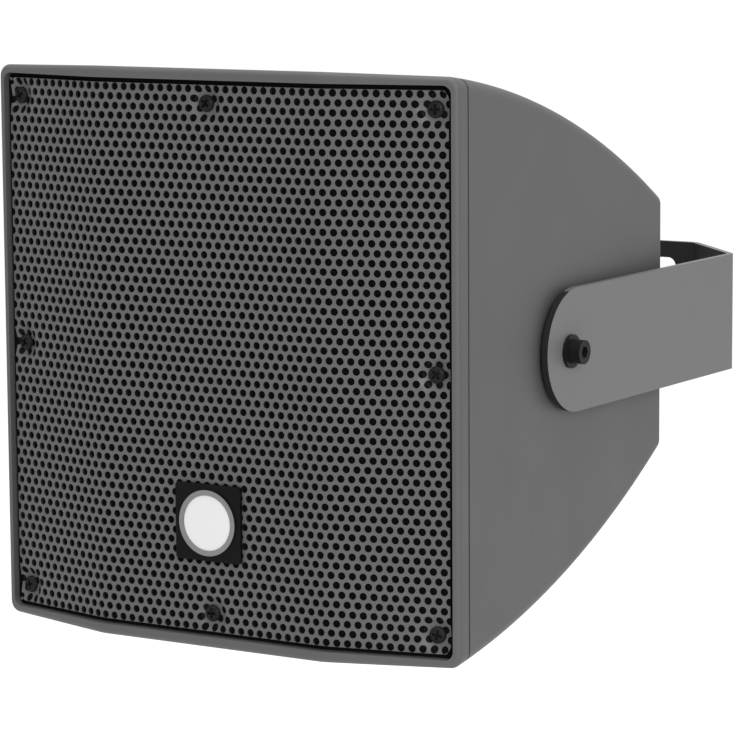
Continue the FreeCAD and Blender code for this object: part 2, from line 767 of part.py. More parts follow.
# Pivot hardware, one set each side
insert = pivot_ring(insert_radius, bolt_radius + screw_gap, pad_face - insert_length, insert_length)
nodes["pivot_inserts"] = Part.makeCompound([insert, mirrored_x(insert)])
spacer = pivot_ring(spacer_radius, bolt_radius + running_gap, pad_face, spacer_thickness)
nodes["pivot_spacers"] = Part.makeCompound([spacer, mirrored_x(spacer)])
washer = pivot_ring(washer_radius, bolt_radius + running_gap, arm_outer, washer_thickness)
nodes["pivot_washers"] = Part.makeCompound([washer, mirrored_x(washer)])
head_seat = arm_outer + washer_thickness
shank_end = pad_face - bolt_engagement
bolt = pivot_disc(bolt_radius, shank_end, head_seat - shank_end)
head = pivot_disc(bolt_head_radius, head_seat, bolt_head)
socket_points = [(bolt_socket_radius * math.cos(math.radians(60 * step)),
                  bolt_socket_radius * math.sin(math.radians(60 * step))) for step in range(6)]
socket = rounded_face(socket_points, [0] * 6,
                      lambda p: vec(head_seat + bolt_head - bolt_socket, pivot_y + p.x, p.y))
bolt = fuse_all(bolt, [head]).cut(socket.extrude(vec(bolt_socket + over, 0, 0)))
nodes["pivot_bolts"] = Part.makeCompound([bolt, mirrored_x(bolt)])

# Bracket: one strip folded round the cabinet, with slanted corners and a slotted wall plate
arm_tip = bracket_height / 2


def strip_plan(inset):
    """Plan of the bracket's outer line drawn in by an inset, closed across the open side."""
    slant = inset * math.tan(math.radians(bracket_slant_deg) / 2)
    arm = arm_outer - inset
    rear = -inset
    front = pivot_y - bracket_height - arm_tip
    return [(-arm, front), (-arm, -bracket_corner - slant), (-arm_outer + bracket_corner + slant, rear),
            (arm_outer - bracket_corner - slant, rear), (arm, -bracket_corner - slant), (arm, front)]


def strip_block(inset, radius):
    face = rounded_face(strip_plan(inset), [0, radius, radius, radius, radius, 0],
                        lambda p: vec(p.x, p.y, -bracket_height / 2))
    return face.extrude(vec(0, 0, bracket_height))


strip = strip_block(0.0, bracket_bend + bracket_sheet).cut(strip_block(bracket_sheet, bracket_bend))
end_centre = pivot_y + arm_end_offset
arm_side = Part.makeCylinder(arm_tip, 2 * front_width, vec(-front_width, end_centre, 0), vec(1, 0, 0))
arm_side = arm_side.fuse(Part.makeBox(2 * front_width, -end_centre + past, bracket_height,
                                      vec(-front_width, end_centre, -bracket_height / 2)))
strip = strip.common(arm_side)
pivot_hole = pivot_disc(bolt_radius + running_gap, -front_width, 2 * front_width)
slots = []
for hand in (-1, 1):
    for up in (-1, 1):
        slot = front_block(slot_length, slot_width, slot_width / 2, -front_y - 2 * bracket_sheet,
                           4 * bracket_sheet, hand * slot_spacing_x / 2, up * slot_spacing_z / 2)
        slots.append(slot)
nodes["bracket"] = cut_all(strip, slots + [pivot_hole])

# Connection panel on the cabinet's back, with its gasket and screws
panel_outer = cabinet_depth - panel_thickness
panel = front_block(panel_width, panel_height, panel_radius, panel_outer, panel_thickness)
gasket = front_block(panel_width, panel_height, panel_radius, panel_seat, panel_gasket_thickness)
gasket = gasket.cut(front_block(panel_opening_width, panel_opening_height, panel_radius,
                                panel_seat, panel_gasket_thickness))
panel_holes = [front_disc(panel_pilot, panel_seat - over, past, x, z) for x, z in panel_spots]
strap_reach = core_width / 2 + strap_sheet + strap_foot / 2
strap_spots = [(transformer_x + hand * strap_reach, transformer_z) for hand in (-1, 1)]
panel_ways = [(bushing_radius, selector_x, selector_z), (gland_thread_radius, gland_x, gland_z)]
panel_ways += [(strap_screw_radius, x, z) for x, z in strap_spots]
for radius, x, z in panel_ways:
    panel_holes.append(front_disc(radius + screw_gap, panel_outer - over, panel_thickness + 2 * over, x, z))
nodes["connection_panel"] = cut_all(panel, panel_holes)
nodes["panel_gasket"] = cut_all(gasket, panel_holes)
panel_screw = pan_screw(panel_screw_head_radius, panel_screw_head, panel_screw_radius, panel_screw_length)
panel_screws = [placed(panel_screw, at_front((x, z), cabinet_depth), 180.0) for x, z in panel_spots]
nodes["panel_screws"] = Part.makeCompound(panel_screws)

# Tap selector
switch = front_disc(switch_radius, panel_outer - switch_length, switch_length, selector_x, selector_z)
bushing = front_disc(bushing_radius, panel_outer - over, bushing_length + over, selector_x, selector_z)
shaft_end = panel_outer + bushing_length + shaft_reach
shaft_start = panel_outer - switch_length / 2
shaft_way = front_disc(shaft_radius + running_gap, shaft_start, shaft_end - shaft_start,
                       selector_x, selector_z)
nodes["selector_switch"] = fuse_all(switch, [bushing]).cut(shaft_way)
nut = front_hex(selector_nut_width, cabinet_depth, selector_nut_thickness, selector_x, selector_z)
nodes["selector_nut"] = nut.cut(front_disc(bushing_radius + screw_gap, cabinet_depth - over,
                                           selector_nut_thickness + 2 * over, selector_x, selector_z))
shaft = front_disc(shaft_radius, shaft_start, shaft_end - shaft_start, selector_x, selector_z)
flat = Part.makeBox(2 * shaft_radius, shaft_reach, shaft_radius,
                    vec(selector_x - shaft_radius, front_y + shaft_end - shaft_reach,
                        selector_z + shaft_radius - shaft_flat))
nodes["selector_shaft"] = shaft.cut(flat)
knob_start = cabinet_depth + selector_nut_thickness + knob_skirt_gap
knob = front_disc(knob_radius, knob_start, knob_height, selector_x, selector_z)
knob_rim = [edge for edge in knob.Edges if edge.BoundBox.YMin > front_y + knob_start + knob_height / 2]
knob = knob.makeFillet(knob_edge, knob_rim)
grips = []
for step in range(knob_ribs):
    turn = math.radians(360.0 / knob_ribs * step)
    grip_x = selector_x + knob_radius * math.cos(turn)
    grip_z = selector_z + knob_radius * math.sin(turn)
    grips.append(front_disc(knob_rib_radius, knob_start, knob_height, grip_x, grip_z))
room_end = panel_outer + bushing_length + knob_skirt_gap
bushing_room = front_disc(bushing_radius + knob_skirt_gap, knob_start - over, room_end - knob_start + over,
                          selector_x, selector_z)
pointer = front_block(knob_rib_radius, knob_radius, 0.0, knob_start + knob_height - knob_skirt_gap, past,
                      selector_x, selector_z + knob_radius / 2)
nodes["selector_knob"] = cut_all(knob, grips + [bushing_room, pointer]).cut(nodes["selector_shaft"])

# Cable gland with its cap, seal and lock nut
gland_end = cabinet_depth + gland_hex_thickness
thread = front_disc(gland_thread_radius, panel_outer - gland_thread_length,
                    gland_end + gland_cap_height / 2 - panel_outer + gland_thread_length, gland_x, gland_z)
gland = front_hex(gland_hex, cabinet_depth, gland_hex_thickness, gland_x, gland_z)
gland = fuse_all(gland, [thread])
gland_bore = front_disc(gland_bore_radius, panel_outer - 2 * gland_thread_length, 4 * gland_cap_height,
                        gland_x, gland_z)
nodes["gland_body"] = gland.cut(gland_bore)
gland_cap = front_disc(gland_cap_radius, gland_end, gland_cap_height, gland_x, gland_z)
cap_middle = front_y + gland_end + gland_cap_height / 2
gland_dome = [edge for edge in gland_cap.Edges if edge.BoundBox.YMin > cap_middle]
gland_cap = gland_cap.makeFillet(gland_cap_radius - gland_bore_radius - gland_cap_lip, gland_dome)
cap_thread = front_disc(gland_thread_radius + screw_gap, gland_end, gland_cap_height / 2, gland_x, gland_z)
nodes["gland_cap"] = gland_cap.cut(cap_thread).cut(gland_bore)
nodes["gland_seal"] = front_disc(gland_bore_radius, gland_end, gland_cap_height, gland_x, gland_z)
lock_front = panel_outer - gland_nut_thickness
lock_nut = front_hex(gland_nut_width, lock_front, gland_nut_thickness, gland_x, gland_z)
nodes["gland_nut"] = lock_nut.cut(front_disc(gland_thread_radius + screw_gap, lock_front, gland_nut_thickness,
                                             gland_x, gland_z))

# Terminal block on the panel's inner face
terminal_front = panel_outer - terminal_depth
terminal = front_block(terminal_width, terminal_height, 0.0, terminal_front, terminal_depth,
                       terminal_x, terminal_z)
terminal_step = terminal_width / terminal_ways
terminal_holes = [front_disc(terminal_hole_radius, terminal_front, terminal_depth / 2,
                             terminal_x + terminal_step * (way - (terminal_ways - 1) / 2), terminal_z)
                  for way in range(terminal_ways)]
nodes["terminal_block"] = cut_all(terminal, terminal_holes)

# Line transformer: laminated core on the panel, winding round its middle leg, strap and screws
def transformer_box(width, depth_start, depth, height):
    """Box centred on the transformer in the front view, from a height over the panel inwards."""
    corner = (transformer_x - width / 2, transformer_z - height / 2)
    return Part.makeBox(width, depth, height, at_front(corner, panel_outer - depth_start - depth))


window_width = (core_width - 4 * core_leg) / 2
window_depth = core_depth - 2 * core_leg
core_windows = []
for hand in (-1, 1):
    core_window = transformer_box(window_width, core_leg, window_depth, core_stack)
    core_windows.append(placed(core_window, vec(hand * (core_leg + window_width / 2), 0, 0)))
nodes["transformer_core"] = cut_all(transformer_box(core_width, 0.0, core_depth, core_stack), core_windows)
winding = transformer_box(core_width - 2 * core_leg - 2 * winding_gap, core_leg, window_depth,
                          core_stack + 2 * winding_overhang)
nodes["transformer_winding"] = winding.cut(transformer_box(2 * core_leg, core_leg, window_depth, core_stack))
strap = transformer_box(core_width + 2 * strap_sheet, 0.0, core_depth + strap_sheet, core_stack)
feet = transformer_box(2 * strap_reach + strap_foot, 0.0, strap_sheet, core_stack)
strap = fuse_all(strap, [feet]).cut(transformer_box(core_width, 0.0, core_depth, core_stack))
strap_hole = strap_screw_radius + screw_gap
strap_holes = [front_disc(strap_hole, panel_outer - 2 * strap_sheet, 3 * strap_sheet, x, z)
               for x, z in strap_spots]
nodes["transformer_strap"] = cut_all(strap, strap_holes)
strap_screw = pan_screw(strap_screw_head_radius, strap_screw_head, strap_screw_radius, strap_screw_length)
strap_screws = [placed(strap_screw, at_front((x, z), cabinet_depth), 180.0) for x, z in strap_spots]
nodes["transformer_screws"] = Part.makeCompound(strap_screws)

os.makedirs("parts", exist_ok=True)
for name, shape in nodes.items():
    shape.exportStep("parts/" + name + ".step")
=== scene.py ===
import math

import bmesh
import bpy
from mathutils import Matrix, Vector


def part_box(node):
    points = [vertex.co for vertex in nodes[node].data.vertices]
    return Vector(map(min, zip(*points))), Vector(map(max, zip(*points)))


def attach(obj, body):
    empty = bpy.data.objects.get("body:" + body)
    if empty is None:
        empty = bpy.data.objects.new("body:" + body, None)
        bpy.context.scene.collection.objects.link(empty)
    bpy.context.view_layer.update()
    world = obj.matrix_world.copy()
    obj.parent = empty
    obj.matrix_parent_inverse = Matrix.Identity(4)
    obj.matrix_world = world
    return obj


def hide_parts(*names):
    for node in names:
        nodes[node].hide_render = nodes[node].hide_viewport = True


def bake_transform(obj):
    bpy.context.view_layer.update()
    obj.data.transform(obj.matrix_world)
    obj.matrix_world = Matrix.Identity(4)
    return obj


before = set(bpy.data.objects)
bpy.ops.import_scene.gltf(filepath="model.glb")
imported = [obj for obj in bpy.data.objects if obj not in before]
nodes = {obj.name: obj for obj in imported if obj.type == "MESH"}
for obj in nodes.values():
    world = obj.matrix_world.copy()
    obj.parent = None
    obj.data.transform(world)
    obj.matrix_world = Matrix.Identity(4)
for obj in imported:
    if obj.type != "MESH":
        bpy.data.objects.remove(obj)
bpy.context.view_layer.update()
mm = 0.001


# Bracket: one strip of 3 mm steel folded to a U with slanted corners and four wall slots.
# It is powder coated in the cabinet's grey, a little lighter, with a fine orange-peel skin; its inner side and
# the front-facing ends of its arms are painted near-black as painted shade, for the shadow the cabinet casts there.
pivot_axis = (0.0, -208.0 * mm, 0.0)
# Near-black painted shade for the bracket's inside and arm ends, and for the grille's hole walls.
painted_shade_black = (0.012, 0.012, 0.012)
# Pale colour for up-facing faces: partly settled dust, partly painted light from above.
dust_and_top_light_colour = (0.42, 0.41, 0.39, 1.0)
cloud_scale = 22.0
bump_strength = 0.6
inner_facing = -0.02
front_facing = -0.25


def feed(tree, socket, value):
    """Links a socket, or sets its value."""
    if isinstance(value, bpy.types.NodeSocket):
        tree.links.new(value, socket)
    else:
        socket.default_value = value


def reckon(tree, operation, *values):
    """Math node with its operands linked or set."""
    node = tree.nodes.new("ShaderNodeMath")
    node.operation = operation
    for socket, value in zip(node.inputs, values):
        feed(tree, socket, value)
    return node.outputs[0]


def add_node(tree, kind, **values):
    """Node of a kind: lower-case names set its properties, and the others link or set its sockets."""
    node = tree.nodes.new(kind)
    for name, value in values.items():
        if name.islower():
            setattr(node, name, value)
        else:
            feed(tree, node.inputs[name.replace("_", " ")], value)
    return node


def build_skin_group():
    """Shader group for a coated or moulded skin: mottled colour, uneven gloss and a fine grain height."""
    group = bpy.data.node_groups.new("moulded_skin", "ShaderNodeTree")
    ways = {"INPUT": ("Color", "Gloss", "Grain Size", "Mottle", "Dust And Top Light"), "OUTPUT": ("Color", "Roughness", "Height")}
    for way, names in ways.items():
        for name in names:
            kind = "NodeSocketColor" if name == "Color" else "NodeSocketFloat"
            group.interface.new_socket(name, in_out=way, socket_type=kind)
    given = group.nodes.new("NodeGroupInput").outputs
    result = group.nodes.new("NodeGroupOutput").inputs
    place = group.nodes.new("ShaderNodeTexCoord").outputs["Object"]
    grain = add_node(group, "ShaderNodeTexNoise", Vector=place,
                     Scale=reckon(group, "DIVIDE", 1.0, given["Grain Size"]), Detail=2.0).outputs["Fac"]
    cloud = add_node(group, "ShaderNodeTexNoise", Vector=place, Scale=cloud_scale, Detail=4.0).outputs["Fac"]
    uneven = reckon(group, "SUBTRACT", cloud, 0.5)
    tone = reckon(group, "MULTIPLY_ADD", uneven, given["Mottle"], 1.0)
    speck = reckon(group, "MULTIPLY_ADD", reckon(group, "SUBTRACT", grain, 0.5), given["Mottle"], tone)
    shade = add_node(group, "ShaderNodeVectorMath", operation="SCALE", Vector=given["Color"], Scale=speck)
    # Up-facing faces mix towards a pale colour in cloudy patches: partly dust, partly painted top light.
    up = add_node(group, "ShaderNodeSeparateXYZ",
                  Vector=group.nodes.new("ShaderNodeNewGeometry").outputs["Normal"]).outputs["Z"]
    patches = reckon(group, "MULTIPLY", cloud, given["Dust And Top Light"])
    dust_and_top_light_mask = reckon(group, "MULTIPLY", reckon(group, "MAXIMUM", up, 0.0), patches)
    dust_and_top_light_mix = add_node(group, "ShaderNodeMixRGB", Fac=dust_and_top_light_mask, Color1=shade.outputs["Vector"], Color2=dust_and_top_light_colour)
    feed(group, result["Color"], dust_and_top_light_mix.outputs["Color"])
    feed(group, result["Roughness"], reckon(group, "MULTIPLY_ADD", uneven, 0.25, given["Gloss"]))
    feed(group, result["Height"], grain)
    return group


moulded_skin = build_skin_group()


def skin_material(name, colour, gloss, grain_size, grain_depth, mottle=0.12, dust_and_top_light=0.04, metallic=0.0,
                  shine=0.4):
    """Material with the moulded skin on it; grain size and depth are in metres."""
    material = bpy.data.materials.new(name)
    material.use_nodes = True
    tree = material.node_tree
    shader = tree.nodes["Principled BSDF"]
    shader.inputs["Metallic"].default_value = metallic
    shader.inputs["Specular IOR Level"].default_value = shine
    skin = tree.nodes.new("ShaderNodeGroup")
    skin.node_tree = moulded_skin
    values = {"Color": (*colour, 1.0), "Gloss": gloss, "Grain Size": grain_size, "Mottle": mottle, "Dust And Top Light": dust_and_top_light}
    for socket, value in values.items():
        skin.inputs[socket].default_value = value
    bump = add_node(tree, "ShaderNodeBump", Height=skin.outputs["Height"], Distance=grain_depth,
                    Strength=bump_strength)
    feed(tree, shader.inputs["Base Color"], skin.outputs["Color"])
    feed(tree, shader.inputs["Roughness"], skin.outputs["Roughness"])
    feed(tree, shader.inputs["Normal"], bump.outputs["Normal"])
    return material


def dress(material, *names):
    """Gives CAD nodes a material."""
    for name in names:
        nodes[name].data.materials.clear()
        nodes[name].data.materials.append(material)


def paint_shade(material, mask, colour, shine):
    """Paints shade on the part of a material under a mask: a darker, duller colour."""
    tree = material.node_tree
    shader = tree.nodes["Principled BSDF"]
    lit = shader.inputs["Base Color"].links[0].from_socket
    mixed = add_node(tree, "ShaderNodeMixRGB", Fac=mask, Color1=lit, Color2=(*colour, 1.0))
    feed(tree, shader.inputs["Base Color"], mixed.outputs["Color"])
    feed(tree, shader.inputs["Specular IOR Level"],
         reckon(tree, "MULTIPLY_ADD", mask, -shine, shader.inputs["Specular IOR Level"].default_value))


def inner_faces(tree, centre):
    """Mask of the faces that look towards an upright axis or to the front, where painted shade goes."""
    place = tree.nodes.new("ShaderNodeTexCoord").outputs["Object"]
    normal = tree.nodes.new("ShaderNodeNewGeometry").outputs["True Normal"]
    away = add_node(tree, "ShaderNodeVectorMath", operation="SUBTRACT")
    feed(tree, away.inputs[0], place)
    away.inputs[1].default_value = centre
    level = add_node(tree, "ShaderNodeVectorMath", operation="MULTIPLY")
    feed(tree, level.inputs[0], away.outputs["Vector"])
    level.inputs[1].default_value = (1.0, 1.0, 0.0)
    facing = add_node(tree, "ShaderNodeVectorMath", operation="DOT_PRODUCT")
    feed(tree, facing.inputs[0], level.outputs["Vector"])
    feed(tree, facing.inputs[1], normal)
    frontal = add_node(tree, "ShaderNodeSeparateXYZ", Vector=normal).outputs["Y"]
    return reckon(tree, "MAXIMUM", reckon(tree, "LESS_THAN", facing.outputs["Value"], inner_facing),
                  reckon(tree, "LESS_THAN", frontal, front_facing))


bracket_coat = skin_material("bracket_coat", (0.078, 0.078, 0.0795), 0.5, 0.0011, 0.00008)
# Painted shade: the bracket's inner faces and front-facing arm ends turn near-black and dull.
paint_shade(bracket_coat, inner_faces(bracket_coat.node_tree, pivot_axis), painted_shade_black, 0.3)
dress(bracket_coat, "bracket")

# Pivot: a black socket-head bolt and washer each side clamp the arm on a rubber spacer.
# The bolts run into brass inserts moulded into the cabinet's sides.
black_zinc = skin_material("black_zinc", (0.006, 0.006, 0.006), 0.4, 0.0006, 0.00003, mottle=0.3, dust_and_top_light=0.01,
                           shine=0.08)
black_rubber = skin_material("black_rubber", (0.01, 0.01, 0.01), 0.7, 0.0008, 0.00004, mottle=0.25, dust_and_top_light=0.01,
                             shine=0.1)
turned_brass = skin_material("turned_brass", (0.5, 0.36, 0.14), 0.35, 0.0004, 0.00002, metallic=1.0, dust_and_top_light=0.0)
dress(black_zinc, "pivot_bolts", "pivot_washers")
dress(black_rubber, "pivot_spacers")
dress(turned_brass, "pivot_inserts")

# Cabinet: front frame and rear shell are moulded in dark grey plastic with a fine matt grain.
# A grey rubber gasket closes the seam between them, and screws behind the grille hold them together.
# The gasket is lighter than the cabinet: partly its own grey, partly painted light against the shade in the seam's
# groove.
# The recess behind the grille is painted near-black as painted shade, so that it reads dark through the holes.
grille_low, grille_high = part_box("grille")
rim_gap = 2.2 * mm
shade_reach = 0.9 * rim_gap
recess_painted_shade = (0.005, 0.005, 0.005)
corner_radius = 4.0 * mm
cabinet_grey = (0.046, 0.046, 0.047)


def recess_mask(tree, half_width, half_height, radius):
    """Mask of the places inside a rounded rectangle about the middle of the front."""
    place = add_node(tree, "ShaderNodeSeparateXYZ", Vector=tree.nodes.new("ShaderNodeTexCoord").outputs["Object"])
    squares = []
    for axis, half in (("X", half_width), ("Z", half_height)):
        past = reckon(tree, "SUBTRACT", reckon(tree, "ABSOLUTE", place.outputs[axis]), half - radius)
        squares.append(reckon(tree, "POWER", reckon(tree, "MAXIMUM", past, 0.0), 2.0))
    return reckon(tree, "LESS_THAN", reckon(tree, "ADD", *squares), radius ** 2)


cabinet_plastic = skin_material("cabinet_plastic", cabinet_grey, 0.55, 0.0009, 0.00009)
shaded_frame_plastic = skin_material("shaded_frame_plastic", cabinet_grey, 0.55, 0.0009, 0.00009)
# Painted shade: the frame inside the grille's outline turns near-black, standing in for the shadow behind the
# grille.
recess_shade_mask = recess_mask(shaded_frame_plastic.node_tree, grille_high.x + shade_reach, grille_high.z + shade_reach,
                        corner_radius)
paint_shade(shaded_frame_plastic, recess_shade_mask, recess_painted_shade, 0.35)
# Lighter than the cabinet, partly as painted light that offsets the groove's shade.
seam_rubber_and_fill_light = skin_material("seam_rubber_and_fill_light", (0.1, 0.1, 0.102), 0.7, 0.0008, 0.00004)
plated_steel = skin_material("plated_steel", (0.5, 0.5, 0.49), 0.34, 0.0007, 0.00002, metallic=1.0, dust_and_top_light=0.0)
dress(cabinet_plastic, "rear_shell")
dress(shaded_frame_plastic, "front_frame")
dress(seam_rubber_and_fill_light, "seam_gasket")
dress(black_rubber, "panel_gasket")
dress(plated_steel, "frame_screws")

# Driver: pressed steel basket with a paper cone on a rubber surround, cloth spider and copper coil.
# It sits behind the grille's foam and is fixed to the baffle by its own screws.
# The surround and the spider are cut into sectors.
sector_count = 12
weld = 0.001 * mm


def keep_form(form, name, material):
    """Object in the scene with the mesh of a form, which is freed."""
    mesh = bpy.data.meshes.new(name)
    form.to_mesh(mesh)
    form.free()
    mesh.materials.append(material)
    piece = bpy.data.objects.new(name, mesh)
    bpy.context.scene.collection.objects.link(piece)
    return piece


def hang_sectors(node, material):
    """Cuts a soft ring into sectors, each kept as its own piece."""
    low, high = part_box(node)
    middle = (low + high) / 2
    half = math.pi / sector_count
    for step in range(sector_count):
        out = Vector((math.cos(2 * half * step), 0.0, math.sin(2 * half * step)))
        across = Vector((-out.z, 0.0, out.x))
        form = bmesh.new()
        form.from_mesh(nodes[node].data)
        form.transform(nodes[node].matrix_world)
        bmesh.ops.remove_doubles(form, verts=form.verts, dist=weld)
        for side in (-1, 1):
            away = side * math.cos(half) * across - math.sin(half) * out
            cut = bmesh.ops.bisect_plane(form, geom=form.verts[:] + form.edges[:] + form.faces[:],
                                         plane_co=middle, plane_no=away, clear_outer=True)
            rim = [piece for piece in cut["geom_cut"] if isinstance(piece, bmesh.types.BMEdge)]
            bmesh.ops.holes_fill(form, edges=rim)
        bmesh.ops.triangulate(form, faces=form.faces[:])
        sector = keep_form(form, "%s_sector_%d" % (node, step + 1), material)
        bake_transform(sector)
        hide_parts(node)


basket_paint = skin_material("basket_paint", (0.02, 0.02, 0.02), 0.45, 0.0008, 0.00004)
cone_paper = skin_material("cone_paper", (0.025, 0.024, 0.023), 0.8, 0.0016, 0.0001, mottle=0.5)
spider_cloth = skin_material("spider_cloth", (0.42, 0.3, 0.12), 0.85, 0.0012, 0.0002, mottle=0.4)
former_paper = skin_material("former_paper", (0.35, 0.26, 0.16), 0.75, 0.001, 0.00005, mottle=0.3)
copper_wire = skin_material("copper_wire", (0.62, 0.25, 0.1), 0.3, 0.0005, 0.0001, metallic=1.0, dust_and_top_light=0.0)
ferrite = skin_material("ferrite", (0.04, 0.04, 0.042), 0.6, 0.0008, 0.00005, mottle=0.3)
dress(basket_paint, "driver_basket")
dress(cone_paper, "cone", "dust_cap")
dress(former_paper, "coil_former")
dress(copper_wire, "voice_coil", "transformer_winding")
dress(ferrite, "magnet")
dress(plated_steel, "top_plate", "pole_plate")
dress(black_zinc, "driver_screws")
dress(black_rubber, "driver_gasket")
hang_sectors("surround", black_rubber)
hang_sectors("spider", spider_cloth)

# Connection panel: coated steel plate on the cabinet's back with a tap selector and a cable gland.
# Inside it carries the terminal block and the line transformer; their screws are made with the others below.
panel_coat = skin_material("panel_coat", (0.04, 0.04, 0.042), 0.45, 0.0009, 0.00006)
black_nylon = skin_material("black_nylon", (0.016, 0.016, 0.017), 0.45, 0.0006, 0.00004, mottle=0.25)
pale_nylon = skin_material("pale_nylon", (0.6, 0.59, 0.55), 0.5, 0.0007, 0.00004, dust_and_top_light=0.0)
lamination = skin_material("lamination", (0.16, 0.16, 0.17), 0.4, 0.0005, 0.00008, mottle=0.4, metallic=0.8,
                           dust_and_top_light=0.0)
dress(panel_coat, "connection_panel")
dress(black_nylon, "selector_knob", "selector_switch", "gland_body", "gland_cap", "gland_nut")
dress(black_rubber, "gland_seal")
dress(plated_steel, "selector_nut", "selector_shaft", "transformer_strap")
dress(pale_nylon, "terminal_block")
dress(lamination, "transformer_core")

# Grille: 1.2 mm steel sheet with a 60 degree stagger of 3.5 mm holes, folded in three facets.
# The sheet is pressed into a dimple round each screw, which draws the nearby holes down with it; the walls of
# the holes are painted near-black as painted shade.
fold_angle = math.radians(12.5)
middle_half = 60.0 * mm
fold_radius = 22.8 * mm
sheet = 1.2 * mm
sheet_recess = 2.2 * mm
pitch = 5.0 * mm
hole_radius = 1.75 * mm
hole_sides = 12
dimple_radius = 9.5 * mm
dimple_floor = 4.4 * mm
dimple_depth = 2.2 * mm
screw_inset_x = 6.1 * mm
screw_inset_z = 8.2 * mm
row_share = math.sqrt(3) / 2
sheet_weld = 0.01 * mm
sheet_crease = math.radians(50)
fold_at = middle_half - sheet_recess * math.tan(fold_angle / 2)
fold_start = fold_at - fold_radius * math.tan(fold_angle / 2)
bend_length = fold_radius * fold_angle
bend_saving = 2 * fold_radius * math.tan(fold_angle / 2) - bend_length
sheet_height = grille_high.z - grille_low.z


def unfolded(x):
    """Place along the flat sheet of a point of the side facet at a distance x from the middle."""
    return fold_at + (x - fold_at) / math.cos(fold_angle) - bend_saving


flat_half = unfolded(grille_high.x)
screw_x = grille_high.x - screw_inset_x
screw_up = grille_high.z - screw_inset_z
screw_spots = [(0.0, -screw_up), (0.0, screw_up)]
screw_spots += [(hand * unfolded(screw_x), up * screw_up) for hand in (-1, 1) for up in (-1, 0, 1)]


def point_mesh(name, points):
    """Object with one vertex at each point."""
    mesh = bpy.data.meshes.new(name)
    mesh.from_pydata(points, [], [])
    thing = bpy.data.objects.new(name, mesh)
    bpy.context.scene.collection.objects.link(thing)
    return thing


def begin_tree(name, inputs):
    """Geometry tree that takes geometry and named inputs, given by kind; returns it with its two ends."""
    tree = bpy.data.node_groups.new(name, "GeometryNodeTree")
    tree.interface.new_socket("Geometry", in_out="INPUT", socket_type="NodeSocketGeometry")
    for kind, labels in inputs.items():
        for label in labels:
            tree.interface.new_socket(label, in_out="INPUT", socket_type="NodeSocket" + kind)
    tree.interface.new_socket("Geometry", in_out="OUTPUT", socket_type="NodeSocketGeometry")
    return tree, tree.nodes.new("NodeGroupInput").outputs, tree.nodes.new("NodeGroupOutput").inputs["Geometry"]


def position(tree):
    """X, Y and Z of the point in hand."""
    return add_node(tree, "ShaderNodeSeparateXYZ", Vector=tree.nodes.new("GeometryNodeInputPosition").outputs[0])


def creased(tree, geometry, angle):
    """Smooth shading with sharp edges above an angle."""
    edge_angle = tree.nodes.new("GeometryNodeInputMeshEdgeAngle").outputs["Unsigned Angle"]
    smooth = add_node(tree, "GeometryNodeSetShadeSmooth", Geometry=geometry)
    marked = add_node(tree, "GeometryNodeStoreNamedAttribute", data_type="BOOLEAN", domain="EDGE",
                      Geometry=smooth.outputs["Geometry"], Name="sharp_edge",
                      Value=reckon(tree, "GREATER_THAN", edge_angle, angle))
    return marked.outputs["Geometry"]


